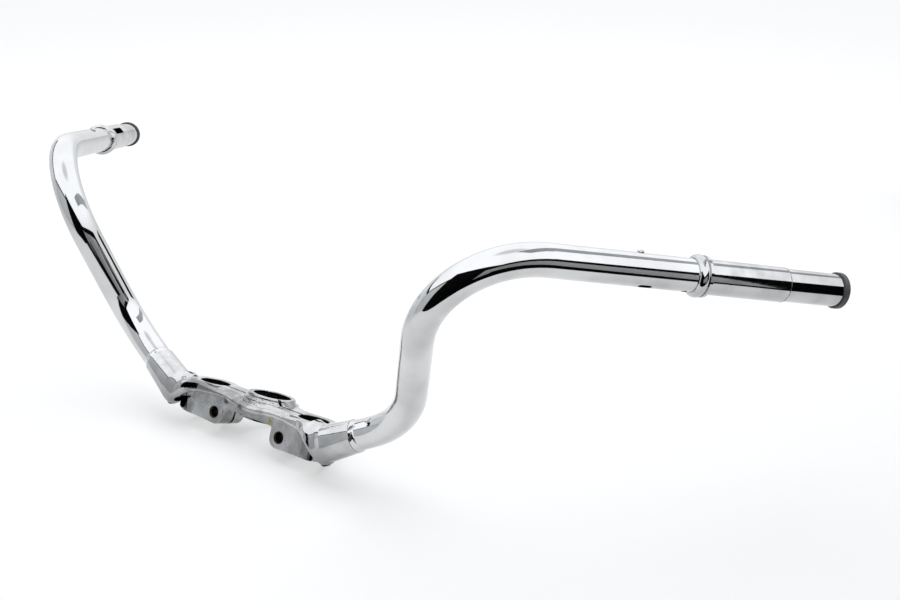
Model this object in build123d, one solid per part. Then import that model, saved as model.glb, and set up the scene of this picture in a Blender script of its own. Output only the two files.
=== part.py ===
from build123d import *
import os
from math import cos, radians, sin, sqrt

# One-piece motorcycle handlebar: two bent steel tubes brazed into the sockets of a forged clamp that
# is also the top clamp of a springer fork. Millimetres. The origin is the stem bore's centre on the
# clamp's top face, +X is the rider's left, +Y is back towards the rider and +Z is up.
os.makedirs("parts", exist_ok=True)

# Attitude: everything is drawn square to the fork, then leaned back by the fork's rake
FORK_RAKE = 24.0

# Tubes
TUBE_OD = 25.4
TUBE_WALL = 2.0
BRAZE_GAP = 0.05

# Clamp: bores and bosses
STEM_BORE = 33.5
STEM_RING_OD = 43.0
STEM_RING_HEIGHT = 4.5
STEM_RING_FOOT = 2.6
STEM_BOSS_OD = 50.0
STEM_BOSS_DEPTH = 17.5
FORK_BORE = 27.0
FORK_BOSS_OD = 42.0
FORK_FACE_OD = 35.0
FORK_SPACING = 120.0
FORK_AHEAD = 10.5
WAIST_RADIUS = 25.0
BORE_CHAMFER = 0.6

# Clamp: web between the bosses, its front bar and the rib that runs along it
WEB_DEPTH = 15.0
WEB_FRONT = 28.0
WEB_FRONT_ROUND = 8.0
RIB_RADIUS = 3.4
RIB_FRONT = 30.4
RIB_MID_DEPTH = 8.2
RIB_DEPTH = 5.0
EDGE_ROUND = 1.2

# Clamp: pinch lugs under the fork bores
LUG_DEPTH = 33.2
LUG_TAPER = 1.6
LUG_INNER_X = 29.0
LUG_OUTER_X = 64.0
LUG_FRONT = 26.0
LUG_BACK = 4.5
LUG_CORNER = 9.0
LUG_INSIDE_ROUND = 3.0
LUG_BACK_ROUND = 4.0
LUG_EDGE_ROUND = 0.9
SLIT_WIDTH = 2.5
SLIT_INNER_X = 16.0
BOLT_X = 39.5
BOLT_DEPTH = 22.6
BOLT_THREAD_BORE = 10.4
BOLT_CLEARANCE_BORE = 11.5
BOLT_SEAT_OD = 17.0
BOLT_SEAT_DEPTH = 1.5

# Clamp: sockets for the tubes
SOCKET_ANGLE = 28.7
SOCKET_MOUTH_X = 119.6
SOCKET_MOUTH_RISE = 3.4
SOCKET_AHEAD = 26.0
SOCKET_OD = 27.6
SOCKET_ROOT_OD = 31.6
SOCKET_LENGTH = 30.0
SOCKET_FLAT = 0.6
SOCKET_BORE_DEPTH = 30.0
HEEL_OUTER_X = 84.0
HEEL_OUTER_ROUND = 8.0
HEEL_FRONT = 33.0
HEEL_BACK = -18.0
HEEL_HOLLOW_X = 71.0
HEEL_HOLLOW_AHEAD = 39.5
HEEL_HOLLOW_RADIUS = 15.7

# Clamp: horn over the lug. Its lower edge follows an arch from the rib down to the heel
HORN_START_X = 38.0
HORN_ARCH_X = 51.0
HORN_ARCH_RADIUS = 40.0
HORN_CROWN_DEPTH = 8.9
HORN_START_INSET = 0.7
HORN_FRONT = 39.3
HORN_RISE = 2.0

# Clamp: way out for the cable under the right horn
PASSAGE_BORE = 14.0
PASSAGE_LENGTH = 14.0
CABLE_HOLE = 12.0
CABLE_HOLE_DIR = (-0.448, -0.308, -0.84)

# Tube route beyond the socket, as corner points from the origin, and its bends
LOW_BEND_REACH = 51.0
LOW_BEND_RADIUS = 70.0
HIGH_BEND_OUT = 214.0
HIGH_BEND_AHEAD = 130.0
HIGH_BEND_RISE = 166.0
HIGH_BEND_RADIUS = 74.0
GRIP_END_OUT = 418.0
GRIP_END_BACK = 126.0
GRIP_END_RISE = 208.0

# Grip sleeve: distances run back along the grip from the tube's end
SLEEVE_OD = 26.8
SLEEVE_END = 48.0
COLLAR_END = 116.0
COLLAR_WIDTH = 7.5
COLLAR_OD = 32.4
FLANGE_WIDTH = 2.4
FLANGE_OD = 31.6
COLLAR_GAP = 0.3
CONTROL_SLOT_AT = 87.0
CONTROL_SLOT_LENGTH = 33.0
CONTROL_SLOT_WIDTH = 7.0
CONTROL_SLOT_ANGLE = -53.0

# Holes for the controls in the tube's underside, inboard of the collar
INNER_HOLE = 4.0
INNER_HOLE_AT = 178.0
INNER_HOLE_ANGLE = 171.0
WIRE_SLOT_LENGTH = 11.0
WIRE_SLOT_WIDTH = 4.6
WIRE_SLOT_AT = 165.5
WIRE_SLOT_ANGLE = 140.0
OUTER_HOLE = 4.5
OUTER_HOLE_AT = 132.0
OUTER_HOLE_ANGLE = 150.0

# Guide screw on top of the tube, beside the collar
SCREW_AT = 169.0
SCREW_ANGLE = -21.0
SCREW_SHANK = 3.0
SCREW_SHANK_LENGTH = 4.0
SCREW_HEAD = 5.6
SCREW_HEAD_HEIGHT = 2.0

# End plugs
PLUG_FLANGE_OD = 28.2
PLUG_FLANGE_WIDTH = 5.0
PLUG_EDGE_ROUND = 1.6
PLUG_SPIGOT_LENGTH = 16.0
PLUG_FIT = 0.05

# How far cuts run past the metal, and how closely edges are picked out by their place
CUT_MARGIN = 20.0
CLOSE = 0.1
TUBE_ID = TUBE_OD - 2 * TUBE_WALL
fork_x = FORK_SPACING / 2
socket_dir = Vector(cos(radians(SOCKET_ANGLE)), 0, sin(radians(SOCKET_ANGLE)))
socket_mouth = Vector(SOCKET_MOUTH_X, -SOCKET_AHEAD, SOCKET_MOUTH_RISE)
low_bend = socket_mouth + socket_dir * LOW_BEND_REACH
high_bend = Vector(HIGH_BEND_OUT, -HIGH_BEND_AHEAD, HIGH_BEND_RISE)
grip_tip = Vector(GRIP_END_OUT, GRIP_END_BACK, GRIP_END_RISE)
grip_dir = (grip_tip - high_bend).normalized()
ridden_up = Vector(0, -sin(radians(FORK_RAKE)), cos(radians(FORK_RAKE)))
grip_side = grip_dir.cross(ridden_up).normalized()
grip_top = grip_side.cross(grip_dir)


def block(x0, x1, y0, y1, z0, z1):
    """A box between two opposite corners."""
    centre = Pos((x0 + x1) / 2, (y0 + y1) / 2, (z0 + z1) / 2)
    return centre * Box(x1 - x0, y1 - y0, z1 - z0)


def upright(diameter, x, y, z0, z1):
    """A cylinder standing along the fork's direction."""
    return Pos(x, y, (z0 + z1) / 2) * Cylinder(diameter / 2, z1 - z0)


def waist_centre():
    """Centre of the arc that joins the stem boss to the left fork boss at the back."""
    apart = Vector(fork_x, -FORK_AHEAD)
    from_stem = STEM_BOSS_OD / 2 + WAIST_RADIUS
    from_fork = FORK_BOSS_OD / 2 + WAIST_RADIUS
    along = (from_stem ** 2 - from_fork ** 2 + apart.length ** 2) / (2 * apart.length)
    across = sqrt(from_stem ** 2 - along ** 2)
    one_way = apart.normalized()
    return one_way * along + Vector(-one_way.Y, one_way.X) * across


def web():
    """The left half of the plate between the bosses, rolled down at its front."""
    waist = waist_centre()
    fork = Vector(fork_x, -FORK_AHEAD)
    near_stem = waist.normalized() * (STEM_BOSS_OD / 2)
    near_fork = fork + (waist - fork).normalized() * (FORK_BOSS_OD / 2)
    outline = [(0, -WEB_FRONT), (LUG_OUTER_X, -WEB_FRONT), (LUG_OUTER_X, -FORK_AHEAD),
               (near_fork.X, near_fork.Y), (near_stem.X, near_stem.Y), (0, near_stem.Y)]
    plan = Polygon(*outline, align=None) - Pos(waist.X, waist.Y) * Circle(WAIST_RADIUS)
    shape = extrude(plan, -WEB_DEPTH)
    front_top = shape.edges().filter_by(Axis.X).group_by(Axis.Y)[0].sort_by(Axis.Z)[-1]
    return fillet(front_top, WEB_FRONT_ROUND)


def rib():
    """The rounded rib along the front bar, which runs out over the lug and into the horn."""
    centre_y = RIB_RADIUS - RIB_FRONT
    path = Spline((0, centre_y, -RIB_MID_DEPTH), (LUG_INNER_X, centre_y, -RIB_DEPTH),
                  (HORN_ARCH_X - RIB_RADIUS, centre_y, -RIB_DEPTH), tangents=[(1, 0, 0), (1, 0, 0)])
    return sweep(Plane(origin=path @ 0, z_dir=(1, 0, 0)) * Circle(RIB_RADIUS), path=path)


def lug():
    """The left pinch lug: a squared block round the fork boss, rounded at its corners."""
    low = LUG_TAPER - LUG_DEPTH
    bar_end = LUG_INNER_X - 2 * LUG_INSIDE_ROUND
    side_view = Polygon((bar_end, -RIB_DEPTH), (bar_end, -WEB_DEPTH), (LUG_INNER_X, -WEB_DEPTH),
                        (LUG_INNER_X, -LUG_DEPTH), (LUG_OUTER_X, low), (LUG_OUTER_X, -RIB_DEPTH), align=None)
    inner = side_view.vertices().filter_by_position(Axis.X, LUG_INNER_X - CLOSE, LUG_INNER_X + CLOSE)
    side_view = fillet(inner.sort_by(Axis.Y)[-1:], LUG_INSIDE_ROUND)
    low_inner = side_view.vertices().sort_by(Axis.Y)[:1]
    side_view = fillet(low_inner, LUG_CORNER)
    back_plane = Plane(origin=(0, LUG_BACK, 0), x_dir=(1, 0, 0), z_dir=(0, -1, 0))
    shape = extrude(back_plane * side_view, LUG_FRONT + LUG_BACK)
    shape = fillet(lug_outline(shape, -1), LUG_BACK_ROUND)
    shape = fillet(lug_outline(shape, 0), LUG_EDGE_ROUND)
    boss = upright(FORK_BOSS_OD, fork_x, -FORK_AHEAD, low, 0)
    boss &= block(0, GRIP_END_OUT, -LUG_FRONT, LUG_FRONT, -LUG_DEPTH, 0)
    return shape + boss + heel(low)


def lug_outline(shape, group):
    """The edges round the lower inner corner of the lug's front (0) or back (-1) face."""
    face = shape.faces().filter_by(Axis.Y).group_by(Axis.Y)[group][0]
    low = [edge for edge in face.edges() if edge.center().Z < -WEB_DEPTH]
    return [edge for edge in low if edge.center().X < LUG_OUTER_X - CLOSE]


def heel(low):
    """The foot between the lug and the horn, with a hollow in its front."""
    side_view = Polygon((LUG_OUTER_X, -WEB_DEPTH), (LUG_OUTER_X, low), (HEEL_OUTER_X, low),
                        (HEEL_OUTER_X, -WEB_DEPTH), align=None)
    low_outer = side_view.vertices().group_by(Axis.Y)[0].sort_by(Axis.X)[-1:]
    side_view = fillet(low_outer, HEEL_OUTER_ROUND)
    back_plane = Plane(origin=(0, HEEL_BACK, 0), x_dir=(1, 0, 0), z_dir=(0, -1, 0))
    foot = extrude(back_plane * side_view, HEEL_FRONT + HEEL_BACK)
    return foot - upright(2 * HEEL_HOLLOW_RADIUS, HEEL_HOLLOW_X, -HEEL_HOLLOW_AHEAD, -LUG_DEPTH, 0)


def horn_section(low, lean, top, front, back, corner):
    """One rounded cross-section of the left horn, leaning outwards, from its lowest point to its top."""
    up = Vector(-sin(radians(lean)), 0, cos(radians(lean)))
    facing = Vector(cos(radians(lean)), 0, sin(radians(lean)))
    height = (top - low.Z) / up.Z
    centre = Vector(low.X, (back - front) / 2, low.Z) + up * (height / 2)
    return Plane(origin=centre, x_dir=(0, 1, 0), z_dir=facing) * RectangleRounded(front + back, height, corner)


def socket_section(before_mouth, height):
    """One cross-section of the left socket, square to its axis."""
    plane = Plane(origin=socket_mouth - socket_dir * before_mouth, x_dir=(0, 1, 0), z_dir=socket_dir)
    return plane * RectangleRounded(SOCKET_OD, height, SOCKET_OD / 2 - SOCKET_FLAT)


def arch_point(turn):
    """A point of the horn's lower edge, this many degrees past the arch's crown."""
    drop = HORN_ARCH_RADIUS * (1 - cos(radians(turn)))
    return Vector(HORN_ARCH_X + HORN_ARCH_RADIUS * sin(radians(turn)), 0, -HORN_CROWN_DEPTH - drop)


def horn():
    """The left horn grows out of the rib over the lug and runs into the round socket."""
    inner = RIB_RADIUS - HORN_START_INSET
    rib_middle = RIB_FRONT - RIB_RADIUS
    horn_back = SOCKET_OD / 2 - SOCKET_AHEAD
    start = Vector(HORN_START_X, 0, -RIB_DEPTH - inner)
    sections = [
        horn_section(start, 0, inner - RIB_DEPTH, rib_middle + inner, inner - rib_middle, inner * 0.8),
        horn_section(arch_point(0), 0, -HORN_RISE / 2, RIB_FRONT + HORN_START_INSET, horn_back, RIB_RADIUS * 0.9),
    ]
    # Each step: degrees along the arch, lean, then the shares of the rise, the swell and the round
    steps = ((9, 0, -0.15, 0.2, 0.24), (23, 2, 0, 0.55, 0.3), (32, 10, 0, 0.8, 0.43), (46, 20, 0.5, 0.96, 0.7))
    for turn, lean, rise, swell, round_share in steps:
        front = RIB_FRONT + (HORN_FRONT - RIB_FRONT) * swell
        sections += [horn_section(arch_point(turn), lean, HORN_RISE * rise, front, horn_back,
                                  SOCKET_OD / 2 * round_share)]
    root = socket_section(SOCKET_LENGTH, SOCKET_ROOT_OD)
    swollen = loft(sections[2:] + [root])
    return loft(sections[:3]) + swollen + loft([root, socket_section(0, SOCKET_OD)], ruled=True)


def bore(diameter, x, y, top):
    """A hole down through the clamp, chamfered at its top."""
    chamfer_cone = Cone(diameter / 2, diameter / 2 + BORE_CHAMFER, BORE_CHAMFER)
    hole = upright(diameter, x, y, -LUG_DEPTH - CUT_MARGIN, CUT_MARGIN)
    return hole + Pos(x, y, top - BORE_CHAMFER / 2) * chamfer_cone


def clamp_cuts():
    """Bores, slit, pinch-bolt hole and tube socket of the left half, to be cut one by one."""
    below = -LUG_DEPTH - CUT_MARGIN
    fork_face = upright(FORK_FACE_OD, fork_x, -FORK_AHEAD, 0, CUT_MARGIN)
    slit = block(SLIT_INNER_X, fork_x, -FORK_AHEAD - SLIT_WIDTH / 2, -FORK_AHEAD + SLIT_WIDTH / 2,
                 below, CUT_MARGIN)
    bolt_line = Pos(BOLT_X, 0, -BOLT_DEPTH) * Rot(90, 0, 0)
    from_front = (Align.CENTER, Align.CENTER, Align.MIN)
    from_back = (Align.CENTER, Align.CENTER, Align.MAX)
    thread = Cylinder(BOLT_THREAD_BORE / 2, LUG_FRONT + CUT_MARGIN, align=from_front)
    back_span = FORK_AHEAD + LUG_BACK + CUT_MARGIN
    clearance = Pos(0, 0, FORK_AHEAD) * Cylinder(BOLT_CLEARANCE_BORE / 2, back_span, align=from_back)
    seat = Pos(0, 0, BOLT_SEAT_DEPTH - LUG_BACK) * Cylinder(BOLT_SEAT_OD / 2, CUT_MARGIN, align=from_back)
    floor = Plane(origin=socket_mouth - socket_dir * SOCKET_BORE_DEPTH, z_dir=socket_dir)
    socket = floor * extrude(Circle(TUBE_OD / 2 + BRAZE_GAP), SOCKET_BORE_DEPTH + CUT_MARGIN)
    return [fork_face, bore(FORK_BORE, fork_x, -FORK_AHEAD, 0), bore(STEM_BORE, 0, 0, STEM_RING_HEIGHT),
            slit, bolt_line * thread, bolt_line * clearance, bolt_line * seat, socket]


def cable_way():
    """The right-hand cable's way out: a passage behind the socket's floor and a hole in its underside."""
    floor = Plane(origin=socket_mouth - socket_dir * SOCKET_BORE_DEPTH, z_dir=socket_dir)
    passage = floor * extrude(Circle(PASSAGE_BORE / 2), -PASSAGE_LENGTH)
    inner_end = socket_mouth - socket_dir * (SOCKET_BORE_DEPTH + PASSAGE_LENGTH - 3)
    outlet = Plane(origin=inner_end, x_dir=(0, 1, 0), z_dir=CABLE_HOLE_DIR)
    return mirror(passage + outlet * extrude(Circle(CABLE_HOLE / 2), SOCKET_OD), Plane.YZ)


def centre_clamp():
    """Two mirrored halves joined on the middle plane; only the right one has the cable's way out."""
    stem_boss = upright(STEM_BOSS_OD, 0, 0, -STEM_BOSS_DEPTH, 0)
    ring = upright(STEM_RING_OD, 0, 0, 0, STEM_RING_HEIGHT)
    ring = fillet(ring.edges().sort_by(Axis.Z)[-1:], EDGE_ROUND)
    foot = Cone(STEM_RING_OD / 2 + STEM_RING_FOOT, STEM_RING_OD / 2, STEM_RING_FOOT)
    ring += Pos(0, 0, STEM_RING_FOOT / 2) * foot
    left_side = block(0, GRIP_END_OUT, -GRIP_END_OUT, GRIP_END_OUT, -GRIP_END_OUT, GRIP_END_OUT)
    half = ((stem_boss + ring) & left_side) + web() + lug() + rib() + horn()
    for cut in clamp_cuts():
        half -= cut
    return half + mirror(half, Plane.YZ) - cable_way()


def grip_section(at):
    """The plane across the left grip, this far from the tube's end, facing along the grip."""
    return Plane(origin=grip_tip - grip_dir * at, x_dir=grip_side, z_dir=grip_dir)


def grip_face(at, angle):
    """The plane that looks out of the left grip, turned this far round from its top."""
    turn = radians(angle)
    outward = grip_top * cos(turn) + grip_side * sin(turn)
    return Plane(origin=grip_tip - grip_dir * at, x_dir=grip_dir, z_dir=outward)


def control_slot():
    return grip_face(CONTROL_SLOT_AT, CONTROL_SLOT_ANGLE) * extrude(
        Rectangle(CONTROL_SLOT_LENGTH, CONTROL_SLOT_WIDTH), SLEEVE_OD)


def left_tube():
    start = socket_mouth - socket_dir * SOCKET_BORE_DEPTH
    route = FilletPolyline(start, low_bend, high_bend, grip_tip, radius=[LOW_BEND_RADIUS, HIGH_BEND_RADIUS])
    section = Plane(origin=start, z_dir=socket_dir) * (Circle(TUBE_OD / 2) - Circle(TUBE_ID / 2))
    tube = sweep(section, path=route)
    tube -= grip_face(INNER_HOLE_AT, INNER_HOLE_ANGLE) * extrude(Circle(INNER_HOLE / 2), TUBE_OD)
    tube -= grip_face(OUTER_HOLE_AT, OUTER_HOLE_ANGLE) * extrude(Circle(OUTER_HOLE / 2), TUBE_OD)
    tube -= grip_face(WIRE_SLOT_AT, WIRE_SLOT_ANGLE) * extrude(
        SlotOverall(WIRE_SLOT_LENGTH, WIRE_SLOT_WIDTH), TUBE_OD)
    tube -= grip_face(SCREW_AT, SCREW_ANGLE) * extrude(Circle(SCREW_SHANK / 2 + BRAZE_GAP), TUBE_OD)
    return tube - control_slot()


def left_grip_sleeve():
    """A thin sleeve with a rounded collar and a flange at its inboard end, brazed over the tube."""
    inside = TUBE_OD / 2 + BRAZE_GAP
    skin = SLEEVE_OD / 2
    bead_side = (skin + COLLAR_OD / 2) / 2
    flange_start = COLLAR_WIDTH + COLLAR_GAP
    flange_end = flange_start + FLANGE_WIDTH
    sleeve_end = flange_end + COLLAR_END - SLEEVE_END
    with BuildSketch(Plane.XZ) as half_section:
        with BuildLine():
            Polyline((skin, 0), (inside, 0), (inside, sleeve_end), (skin, sleeve_end), (skin, flange_end))
            Polyline((skin, flange_end), (FLANGE_OD / 2, flange_end), (FLANGE_OD / 2, flange_start))
            Polyline((FLANGE_OD / 2, flange_start), (bead_side, flange_start), (bead_side, COLLAR_WIDTH))
            ThreePointArc((bead_side, COLLAR_WIDTH), (COLLAR_OD / 2, COLLAR_WIDTH / 2), (skin, 0))
        make_face()
    turned = revolve(half_section.sketch, Axis.Z)
    return grip_section(COLLAR_END + flange_end) * turned - control_slot()


def left_guide_screw():
    """A small round-headed screw that keeps the control's guide in place."""
    seat = grip_face(SCREW_AT, SCREW_ANGLE).offset(TUBE_OD / 2)
    shank = extrude(Circle(SCREW_SHANK / 2), -SCREW_SHANK_LENGTH)
    head = Cylinder(SCREW_HEAD / 2, SCREW_HEAD_HEIGHT, align=(Align.CENTER, Align.CENTER, Align.MIN))
    head = fillet(head.edges().sort_by(Axis.Z)[-1:], SCREW_HEAD_HEIGHT * 0.8)
    return seat * (shank + head)


def left_end_plug():
    flange = Cylinder(PLUG_FLANGE_OD / 2, PLUG_FLANGE_WIDTH, align=(Align.CENTER, Align.CENTER, Align.MIN))
    flange = fillet(flange.edges().sort_by(Axis.Z)[-1:], PLUG_EDGE_ROUND)
    spigot = extrude(Circle(TUBE_ID / 2 - PLUG_FIT), -PLUG_SPIGOT_LENGTH)
    return grip_section(0) * (flange + spigot)


def save(shape, name):
    """Lean the piece back by the fork's rake and write it."""
    export_step(shape.rotate(Axis.X, -FORK_RAKE), f"parts/{name}.step")


save(centre_clamp(), "centre_clamp")
pieces = {
    "tube": left_tube(),
    "grip_sleeve": left_grip_sleeve(),
    "guide_screw": left_guide_screw(),
    "end_plug": left_end_plug(),
}
for name, piece in pieces.items():
    save(piece, f"left_{name}")
    save(mirror(piece, Plane.YZ), f"right_{name}")
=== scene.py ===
import math

import bmesh
import bpy
from mathutils import Matrix, Vector


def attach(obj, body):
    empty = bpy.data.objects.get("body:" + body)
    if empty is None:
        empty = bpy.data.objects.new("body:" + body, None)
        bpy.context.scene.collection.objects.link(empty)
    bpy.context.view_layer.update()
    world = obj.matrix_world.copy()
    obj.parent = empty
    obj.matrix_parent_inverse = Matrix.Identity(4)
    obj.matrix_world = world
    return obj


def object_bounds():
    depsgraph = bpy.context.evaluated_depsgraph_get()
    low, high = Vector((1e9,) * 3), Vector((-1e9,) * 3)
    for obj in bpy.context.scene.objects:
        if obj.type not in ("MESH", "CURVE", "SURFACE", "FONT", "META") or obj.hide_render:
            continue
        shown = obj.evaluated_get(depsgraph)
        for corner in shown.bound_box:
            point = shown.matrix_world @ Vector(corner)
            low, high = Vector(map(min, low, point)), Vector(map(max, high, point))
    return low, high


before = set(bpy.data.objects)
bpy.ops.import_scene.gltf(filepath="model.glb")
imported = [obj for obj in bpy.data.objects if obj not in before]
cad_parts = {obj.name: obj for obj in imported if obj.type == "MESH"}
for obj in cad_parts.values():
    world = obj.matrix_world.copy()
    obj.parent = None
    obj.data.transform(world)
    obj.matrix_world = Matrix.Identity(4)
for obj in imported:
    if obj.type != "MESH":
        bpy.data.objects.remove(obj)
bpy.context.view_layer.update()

# Centre clamp
# One steel forging, the fork's top clamp and both tube sockets in one, plated with the bar. The horns and
# sockets were ground smooth before plating, and the rest keeps the forging's lumps, pits and fine grain.


class Wire:
    """A shader socket that adds its own Math nodes when it is used in an expression."""

    def __init__(self, graph, socket):
        self.graph = graph
        self.socket = socket

    def math(self, operation, *others):
        return self.graph.math(operation, self, *others)

    def __add__(self, other):
        return self.math("ADD", other)

    def __radd__(self, other):
        return self.graph.math("ADD", other, self)

    def __sub__(self, other):
        return self.math("SUBTRACT", other)

    def __rsub__(self, other):
        return self.graph.math("SUBTRACT", other, self)

    def __mul__(self, other):
        return self.math("MULTIPLY", other)

    def __rmul__(self, other):
        return self.graph.math("MULTIPLY", other, self)

    def __neg__(self):
        return self.math("MULTIPLY", -1.0)

    def __abs__(self):
        return self.math("ABSOLUTE")

    def ramp(self, low, high):
        """0 below the low value and 1 above the high one, with a smooth rise between them."""
        limits = {"Value": self, "From Min": low, "From Max": high}
        return self.graph.add("ShaderNodeMapRange", {"interpolation_type": "SMOOTHSTEP"}, limits)


class Graph:
    """A node tree whose nodes are added by one method."""

    def __init__(self, tree):
        self.tree = tree

    def add(self, kind, settings={}, values={}, output=0):
        node = self.tree.nodes.new(kind)
        for name, value in settings.items():
            setattr(node, name, value)
        for key, value in values.items():
            if isinstance(value, Wire):
                self.tree.links.new(value.socket, node.inputs[key])
            else:
                node.inputs[key].default_value = value
        return Wire(self, node.outputs[output]) if node.outputs else None

    def math(self, operation, *values):
        return self.add("ShaderNodeMath", {"operation": operation}, dict(enumerate(values)))

    def blend(self, factor, first, second):
        """One colour turned into another by a factor. Sockets 6 and 7, and output 2, are the colours."""
        return self.add("ShaderNodeMix", {"data_type": "RGBA"}, {0: factor, 6: first, 7: second}, 2)

    def split(self, vector):
        return [self.add("ShaderNodeSeparateXYZ", {}, {0: vector}, axis) for axis in range(3)]


class Finish(Graph):
    """A material with one Principled shader, whose sockets are set by name."""

    def __init__(self, name, **constants):
        self.material = bpy.data.materials.new(name)
        self.material.use_nodes = True
        super().__init__(self.material.node_tree)
        self.shader = self.tree.nodes["Principled BSDF"]
        for socket, value in constants.items():
            self.shader.inputs[socket.replace("_", " ")].default_value = value
        self.place = self.add("ShaderNodeTexCoord", output="Object")

    def set(self, socket, wire):
        self.tree.links.new(wire.socket, self.shader.inputs[socket])

    def noise(self, scale, detail):
        return self.add("ShaderNodeTexNoise", {}, {"Vector": self.place, "Scale": scale, "Detail": detail})

    def bump(self, height, strength, distance):
        values = {"Height": height, "Strength": strength, "Distance": distance}
        return self.add("ShaderNodeBump", {}, values)

    def near(self, place, point, radius):
        """1 about a point, falling to 0 at the radius, both in millimetres."""
        ends = {0: place, 1: Vector(point) / 1000}
        distance = self.add("ShaderNodeVectorMath", {"operation": "DISTANCE"}, ends, "Value") * 1000
        return 1 - distance.ramp(0.35 * radius, radius)

    def in_bore(self, first, second, radius):
        """1 inside a round bore, from the two distances to its axis in millimetres, with a soft edge."""
        from_axis = (first * first + second * second).math("SQRT")
        return 1 - from_axis.ramp(radius, radius + 0.3)


def grey(level, blue=1.02):
    """A grey of so much linear light, with its blue a little above its red."""
    return (level, level * (1 + blue) / 2, level * blue, 1)


def dress(node, finish):
    node_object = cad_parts[node]
    node_object.data.materials.clear()
    node_object.data.materials.append(finish.material)


# Places on the clamp are in millimetres square to the fork, from the stem's axis at the top of the plate:
# across to the rider's left, back, and up. A bore's radius here reaches a little past its wall, and a mark
# or spot has its centre and its radius.
rake = math.radians(24)
stem_radius = 16.9
fork_across = 60
fork_back = -10.5
fork_radius = 13.6
bolt_across = 39.5
bolt_up = -22.6
bolt_radius = 5.35
ground_from = 66
ground_whole = 74
outer_mark = ((-26, -28.5, -8.4), 4.6)
inner_mark = ((-7.6, -30, -9.6), 4)
brass_spot = ((28.6, -28.5, -11.2), 4.6)
# Nearly black: the soot of burnt flux, and painted shade inside the clamp's bores.
soot_and_painted_shade = (0.012, 0.011, 0.01, 1)
brass_stain = (0.36, 0.31, 0.05, 1)

forged = Finish("forged_chrome", Metallic=1.0)
leaned = {"Vector": forged.place, "Angle": rake}
square = forged.add("ShaderNodeVectorRotate", {"rotation_type": "X_AXIS"}, leaned)
x, y, z = [metres * 1000 for metres in forged.split(square)]
side = abs(x)
front = -y
below = -z
from_stem = (x * x + y * y).math("SQRT")

# Each mask is 1 on its own place: the ground horns and sockets, the lugs' fronts, the ring of small beads
# in front of the stem's boss, the bores, two dark marks on the front bar, and a stain of brass there.
ground = side.ramp(ground_from, ground_whole)
lug = below.ramp(5, 9) * (1 - side.ramp(64, 68)) * front.ramp(24.5, 25.8)
skirt = from_stem.ramp(21.2, 22.2) * (1 - from_stem.ramp(26.5, 29.5)) * front.ramp(6, 12) * z.ramp(-4, -2)
stem_bore = forged.in_bore(x, y, stem_radius)
fork_bore = forged.in_bore(side - fork_across, y - fork_back, fork_radius)
bolt_hole = forged.in_bore(side - bolt_across, z - bolt_up, bolt_radius)
shaded_bores = fork_bore.math("MAXIMUM", bolt_hole)
marks = forged.near(square, *outer_mark) + forged.near(square, *inner_mark)
stain = forged.near(square, *brass_spot) * forged.noise(600, 2).ramp(0.38, 0.55)

lumps = forged.noise(110, 2)
grain = forged.noise(1000, 3)
blotch = forged.noise(48, 4)
pits = forged.noise(450, 1).ramp(0.55, 0.8)
plate_tone = forged.blend(blotch.ramp(0.38, 0.62), grey(0.22), grey(0.5))
lug_tone = forged.blend(blotch.ramp(0.35, 0.65), grey(0.33), grey(0.52))
cast_tone = forged.blend(lug, plate_tone, lug_tone)
horn_tone = forged.blend(lumps.ramp(0.3, 0.7), grey(0.5), grey(0.6))
# Painted shade: the ground horns and sockets are painted darker grey towards their bottom, where they
# mirror the shadowed table.
ground_tone_shaded_below = forged.blend(z.ramp(-36, 4), grey(0.22), horn_tone)
tone = forged.blend(ground, cast_tone, ground_tone_shaded_below)
tone = forged.blend(marks.math("MINIMUM", 1), tone, grey(0.09))
tone = forged.blend(stain, tone, brass_stain)
# Painted shade: the stem bore's wall is painted dark grey, and the fork bores and bolt holes nearly black.
stem_bore_shade = forged.blend(grain.ramp(0.4, 0.6), grey(0.1), grey(0.34))
tone = forged.blend(stem_bore, tone, stem_bore_shade)
forged.set("Base Color", forged.blend(shaded_bores, tone, soot_and_painted_shade))
dull = 0.05 + lumps * 0.06 + pits * 0.08 + lug * 0.2
forged.set("Roughness", dull * (1 - ground * 0.55) + shaded_bores * 0.4)
skin = lumps * 0.75 + grain * 0.08 - pits * 0.14
beads = skirt * forged.noise(480, 0) * 4
forged.set("Normal", forged.bump(skin * (1 - ground * 0.85) + beads, 0.5, 0.001))
dress("centre_clamp", forged)

# Pinch threads
# The front half of each lug is tapped for its pinch bolt, and the thread shows inside the hole. The
# thread is coloured dark and dull.


def lathe(points, steps=64):
    """A ring turned about Z from a closed outline of radii and heights in millimetres."""
    shape = bmesh.new()
    ring = [shape.verts.new((radius / 1000, 0, height / 1000)) for radius, height in points]
    edges = [shape.edges.new(pair) for pair in zip(ring, ring[1:] + ring[:1])]
    bmesh.ops.spin(shape, geom=ring + edges, axis=(0, 0, 1), angle=math.tau, steps=steps, use_merge=True)
    return shape


def piece(name, shape, finish, place):
    """A piece that rides on the bar, put in its place in the frame."""
    bmesh.ops.transform(shape, matrix=place, verts=shape.verts)
    bmesh.ops.recalc_face_normals(shape, faces=shape.faces)
    mesh = bpy.data.meshes.new(name)
    shape.to_mesh(mesh)
    shape.free()
    mesh.shade_smooth()
    mesh.materials.append(finish.material)
    made = bpy.data.objects.new(name, mesh)
    bpy.context.scene.collection.objects.link(made)
    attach(made, "root")


def on_fork(x, y, z):
    """The place of a point that is drawn square to the fork, in millimetres."""
    return Matrix.Rotation(-rake, 4, "X") @ Matrix.Translation(Vector((x, y, z)) / 1000)


hands = (("left", 1), ("right", -1))
thread_dark = (0.035, 0.028, 0.02, 1)
thread_light = (0.13, 0.105, 0.08, 1)
thread_pitch = 1.25
thread_turns = 9
thread_start = -25.2
crest_radius = 4.55
root_radius = 5.1
wall_radius = 5.19

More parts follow.
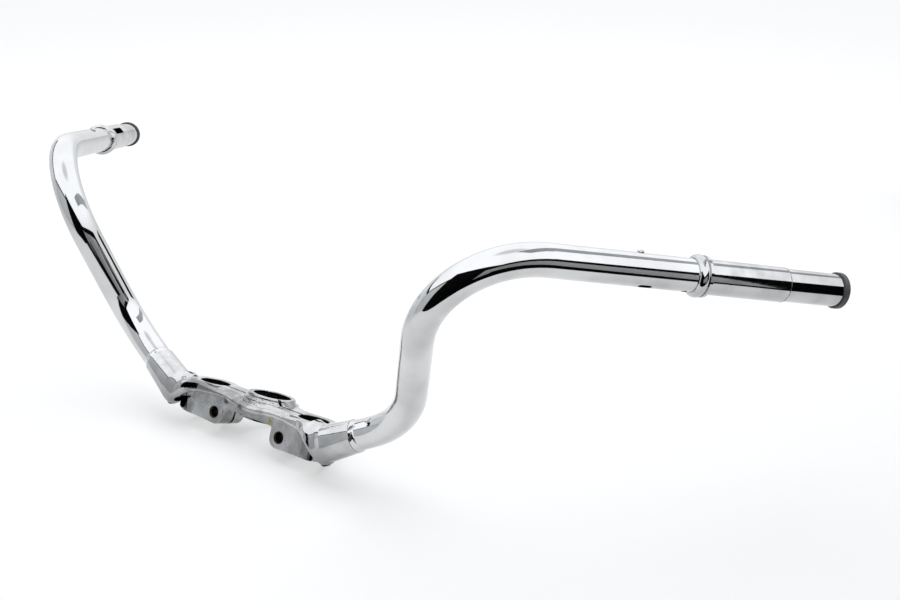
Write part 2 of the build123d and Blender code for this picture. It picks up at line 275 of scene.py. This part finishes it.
tapped = Finish("tapped_steel", Metallic=1.0)
tapped.set("Base Color", tapped.blend(tapped.noise(700, 2), thread_dark, thread_light))
tapped.set("Roughness", 0.35 + tapped.noise(900, 1) * 0.2)
thread = [(wall_radius, 0)]
for turn in range(thread_turns):
    thread += [(root_radius, thread_pitch * turn), (crest_radius, thread_pitch * (turn + 0.5))]
thread += [(root_radius, thread_pitch * thread_turns), (wall_radius, thread_pitch * thread_turns)]
backwards = Matrix.Rotation(-math.pi / 2, 4, "X")
for name, hand in hands:
    bolt_line = on_fork(hand * bolt_across, thread_start, bolt_up) @ backwards
    piece(name + "_pinch_thread", lathe(thread), tapped, bolt_line)

# Bent tubes
# Steel tube of one inch, bent cold, brazed into the sockets, ground smooth and plated bright. The plate is
# close to a mirror, with a slight orange peel, a thin haze and worn ends, and its underside carries
# painted shade.


def facing_down(finish):
    """1 where a surface faces down, 0 where it is upright and -1 where it faces up."""
    return -finish.split(finish.add("ShaderNodeTexCoord", output="Normal"))[2]


def dress_both(kind, finish):
    for hand in ("left", "right"):
        dress(hand + "_" + kind, finish)


worn_from = 378
worn_whole = 392

bright = Finish("bright_chrome", Metallic=1.0)
peel = bright.noise(55, 1)
haze = bright.noise(26, 4)
clean_plate = bright.blend(haze.ramp(0.35, 0.75), grey(0.66), grey(0.58))
worn_plate = bright.blend(haze.ramp(0.3, 0.7), grey(0.56), grey(0.38))
across = abs(bright.split(bright.place)[0]) * 1000
tube_plate = bright.blend(across.ramp(worn_from, worn_whole), clean_plate, worn_plate)
# Painted shade: where the tube faces down, its colour is painted a darker grey.
underside_shade = facing_down(bright).ramp(-0.1, 0.7) * haze.ramp(0.2, 0.9)
bright.set("Base Color", bright.blend(underside_shade, tube_plate, grey(0.42)))
bright.set("Roughness", 0.03 + haze * 0.03)
bright.set("Normal", bright.bump(peel, 0.04, 0.001))
dress_both("tube", bright)

# Brazed joints
# Brass filled the step at each socket's mouth and was dressed back before plating. On the left a run of
# it stands proud, with a dark pit of burnt flux below.


def drop(name, centre, radii, turn, finish):
    """A lump with a centre and three radii in millimetres, turned about the line from front to back."""
    shape = bmesh.new()
    bmesh.ops.create_icosphere(shape, subdivisions=4, radius=0.001)
    place = on_fork(*centre) @ Matrix.Rotation(turn, 4, "Y") @ Matrix.Diagonal((*radii, 1))
    piece(name, shape, finish, place)


mouth_across = 119.6
mouth_back = -26
mouth_up = 3.4
socket_lean = math.radians(28.7)
burnt_edge = (0.05, 0.045, 0.04, 1)

fillet = [(13.79, -0.2), (13.55, 0.7), (13.15, 2.0), (12.85, 3.6), (12.71, 5.5), (12.6, 5.5), (12.6, -0.2)]
for name, hand in hands:
    outwards = Matrix.Rotation(hand * (math.pi / 2 - socket_lean), 4, "Y")
    mouth = on_fork(hand * mouth_across, mouth_back, mouth_up) @ outwards
    piece(name + "_braze", lathe(fillet, 96), bright, mouth)
flux = Finish("burnt_flux", Roughness=0.6)
flux.set("Base Color", flux.blend(flux.noise(900, 2), soot_and_painted_shade, burnt_edge))
drop("left_braze_run", (118.6, -37.3, 8.6), (1.5, 1.9, 5.2), 0.35, bright)
drop("left_flux_pit", (121.4, -38.6, 2.2), (2.4, 0.9, 3.2), -0.2, flux)

# Grip sleeves
# A thin turned sleeve with its collar and flange, slid over the tube where the grip turns. Its plate is
# more smeared than the tube's, with painted shade on its underside, and a dark line runs round the tube
# where the sleeve ends.
grip_end = Vector((418, 126, 208))
grip_bend = Vector((214, -130, 166))
seam_from_end = 48

turned = Finish("turned_chrome", Metallic=1.0)
smear = turned.noise(45, 4)
sleeve_plate = turned.blend(smear.ramp(0.35, 0.7), grey(0.6), grey(0.44))
# Painted shade: where the sleeve faces down, its colour is painted a darker grey.
sleeve_underside_shade = turned.blend(smear, grey(0.56), grey(0.4))
turned.set("Base Color", turned.blend(facing_down(turned).ramp(-0.1, 0.5), sleeve_plate, sleeve_underside_shade))
turned.set("Roughness", 0.035 + smear * 0.07)
turned.set("Normal", turned.bump(turned.noise(300, 2), 0.03, 0.0006))
dress_both("grip_sleeve", turned)

# The ring round the tube where the sleeve ends is coloured a dark grey.
dark_seam_line = Finish("dark_seam_line", Metallic=1.0)
dark_seam_line.set("Base Color", dark_seam_line.blend(dark_seam_line.noise(240, 3).ramp(0.4, 0.6), grey(0.06), grey(0.3)))
dark_seam_line.set("Roughness", 0.25 + dark_seam_line.noise(700, 2) * 0.2)
seam = [(13.3, -0.4), (13.46, -0.25), (13.46, 0.25), (13.3, 0.4)]
for name, hand in hands:
    mirror = Vector((hand, 1, 1))
    inwards = (grip_bend - grip_end) * mirror
    centre = grip_end * mirror + inwards.normalized() * seam_from_end
    along_grip = inwards.to_track_quat("Z", "Y").to_matrix().to_4x4()
    piece(name + "_sleeve_seam", lathe(seam), dark_seam_line, on_fork(*centre) @ along_grip)

# End plugs
# Moulded in dark grey plastic, pushed into the tube's end until the flange meets it. The skin has a fine
# speckle and is neither glossy nor quite matt.
plug_dark = (0.06, 0.061, 0.066, 1)
plug_light = (0.1, 0.101, 0.108, 1)

moulded = Finish("moulded_plug", Metallic=0.0)
speckle = moulded.noise(700, 2)
moulded.set("Base Color", moulded.blend(moulded.noise(60, 2), plug_dark, plug_light))
moulded.set("Roughness", 0.42 + speckle * 0.15)
moulded.set("Normal", moulded.bump(speckle, 0.15, 0.0002))
dress_both("end_plug", moulded)

# Guide screws
# A small steel screw with a round head, set in the tube beside each collar. It is plated, a little duller
# than the tube.
screw_plate = Finish("screw_plate", Metallic=1.0)
screw_plate.set("Base Color", screw_plate.blend(screw_plate.noise(400, 2), grey(0.5), grey(0.62)))
screw_plate.set("Roughness", 0.16 + screw_plate.noise(600, 2) * 0.1)
screw_plate.set("Normal", screw_plate.bump(screw_plate.noise(900, 1), 0.1, 0.0002))
dress_both("guide_screw", screw_plate)

# Table, room and lights
# The bar stands on a white table that ends before the camera, in a bright room that is dark behind the
# camera. The chrome mirrors the room, so cards that the camera doesn't see stand for its dark side, door,
# pole, left walls and ceiling rail.


def card(name, corners, finish, in_picture=False):
    """A flat card of the studio through its corners, in metres, which mirrors in the chrome."""
    shape = bmesh.new()
    shape.faces.new([shape.verts.new(corner) for corner in corners])
    mesh = bpy.data.meshes.new(name)
    shape.to_mesh(mesh)
    shape.free()
    mesh.materials.append(finish.material)
    stand = bpy.data.objects.new(name, mesh)
    stand.visible_camera = in_picture
    bpy.context.scene.collection.objects.link(stand)


def level_card(name, height, outline, finish, in_picture=False):
    card(name, [(x, y, height) for x, y in outline], finish, in_picture)


def upright_card(name, start, end, bottom, start_top, end_top, finish):
    card(name, [(*start, bottom), (*end, bottom), (*end, end_top), (*start, start_top)], finish)


def paint(name, level):
    return Finish(name, Base_Color=grey(level), Roughness=1.0, Specular_IOR_Level=0.0)


def ray_kinds(graph):
    """1 for a camera ray, for a glossy ray and for a transmission ray, in three sockets."""
    kinds = ("Is Camera Ray", "Is Glossy Ray", "Is Transmission Ray")
    return [graph.add("ShaderNodeLightPath", output=kind) for kind in kinds]


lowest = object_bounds()[0][2]
table_outline = [(-4, -1.6), (-1.06, -1.6), (1.6, 0.8), (1.6, 5), (-4, 5)]
near_left = (-0.265, -0.95)
near_right = (1.05, -0.95)
far_right = (1.05, 0.55)
far_left = (-0.265, 0.2)
door_start = (0.8, -0.94)
door_corner = (1.04, -0.94)
door_end = (1.04, 0.08)
wall_start = (-0.265, -0.96)
wall_corner = (-1.5, -0.96)
wall_end = (-1.5, 0.5)
pole_left = (0.30, 1.13)
pole_right = (0.55, 1.01)
rail_outline = [(0.42, -0.1), (0.42, 3), (0.72, 3), (0.72, -0.1)]

table = Finish("white_table", Roughness=1.0, Specular_IOR_Level=0.0, Emission_Strength=1.0)
camera_ray, glossy_ray, clear_ray = ray_kinds(table)
in_view = camera_ray.math("MAXIMUM", glossy_ray).math("MAXIMUM", clear_ray)
left_shade = (-table.split(table.place)[0]).ramp(0.15, 0.8) * glossy_ray
table.set("Base Color", table.blend(in_view, grey(0.9), grey(0.5)))
table.set("Emission Color", table.blend(in_view * (1 - left_shade * 0.48), grey(0, 1), grey(0.46, 1)))
level_card("table", lowest, table_outline, table, in_picture=True)

black = paint("black_room", 0.004)
dark = paint("grey_door", 0.5)
pale = paint("pale_wall", 0.62)
white = paint("white_wall", 0.85)
upright_card("room_front", near_left, near_right, -1, 1.0, 0.55, black)
upright_card("room_side", near_right, far_right, -1, 0.55, 0.48, black)
level_card("room_floor", -0.5, [near_left, near_right, far_right, far_left], black)
upright_card("door_side", door_corner, door_end, 0.0, 0.33, 0.33, dark)
upright_card("door_front", door_start, door_corner, -0.1, 0.33, 0.33, dark)
upright_card("pole", pole_left, pole_right, lowest, 0.34, 0.34, black)
level_card("rail", 1.0, rail_outline, pale)
upright_card("left_wall", wall_start, wall_corner, lowest, 0.7, 0.7, pale)
upright_card("left_top", wall_start, wall_corner, 0.7, 0.8, 0.8, black)
upright_card("far_left_wall", wall_corner, wall_end, lowest, 0.6, 0.6, white)
upright_card("far_left_top", wall_corner, wall_end, 0.6, 0.72, 0.72, black)

world = bpy.data.worlds.new("studio")
bpy.context.scene.world = world
world.use_nodes = True
world.node_tree.nodes.clear()
sky = Graph(world.node_tree)
camera_ray, glossy_ray, clear_ray = ray_kinds(sky)
height = sky.split(sky.add("ShaderNodeTexCoord", output="Generated"))[2]
room_light = 0.95
mirrored_light = 1.02 + height.ramp(0.05, 0.5) * 0.46 - height.ramp(0.955, 0.995) * 0.55
light = room_light + glossy_ray * (mirrored_light - room_light)
lit = sky.add("ShaderNodeBackground", {}, {"Color": (0.975, 0.985, 1, 1), "Strength": light})
backdrop = sky.add("ShaderNodeBackground", {}, {"Color": (1, 1, 1, 1), "Strength": 1.0})
to_backdrop = camera_ray.math("MAXIMUM", clear_ray)
studio = sky.add("ShaderNodeMixShader", {}, {0: to_backdrop, 1: lit, 2: backdrop})
sky.add("ShaderNodeOutputWorld", {}, {"Surface": studio})

lamp = bpy.data.lights.new("ceiling_box", "AREA")
lamp.shape = "RECTANGLE"
lamp.size = 1.6
lamp.size_y = 1.6
lamp.energy = 18
ceiling = bpy.data.objects.new("ceiling_box", lamp)
ceiling.location = (-0.1, 0.5, 1.8)
ceiling.rotation_euler = (math.radians(-8), 0, 0)
ceiling.visible_glossy = False
bpy.context.scene.collection.objects.link(ceiling)

# Camera
# It stands in front of the rider's left grip and looks down at the clamp, as in the photograph. Its lens
# and place come from a fit to both tubes and the clamp's bores.
eye = bpy.data.cameras.new("camera")
eye.lens = 44.0
eye.sensor_width = 36.0
viewer = bpy.data.objects.new("camera", eye)
viewer.location = (0.6370, -0.6124, 0.4597)
viewer.rotation_euler = (math.radians(67.31), 0, math.radians(35.76))
bpy.context.scene.collection.objects.link(viewer)
bpy.context.scene.camera = viewer

bpy.context.scene.view_settings.view_transform = "Standard"
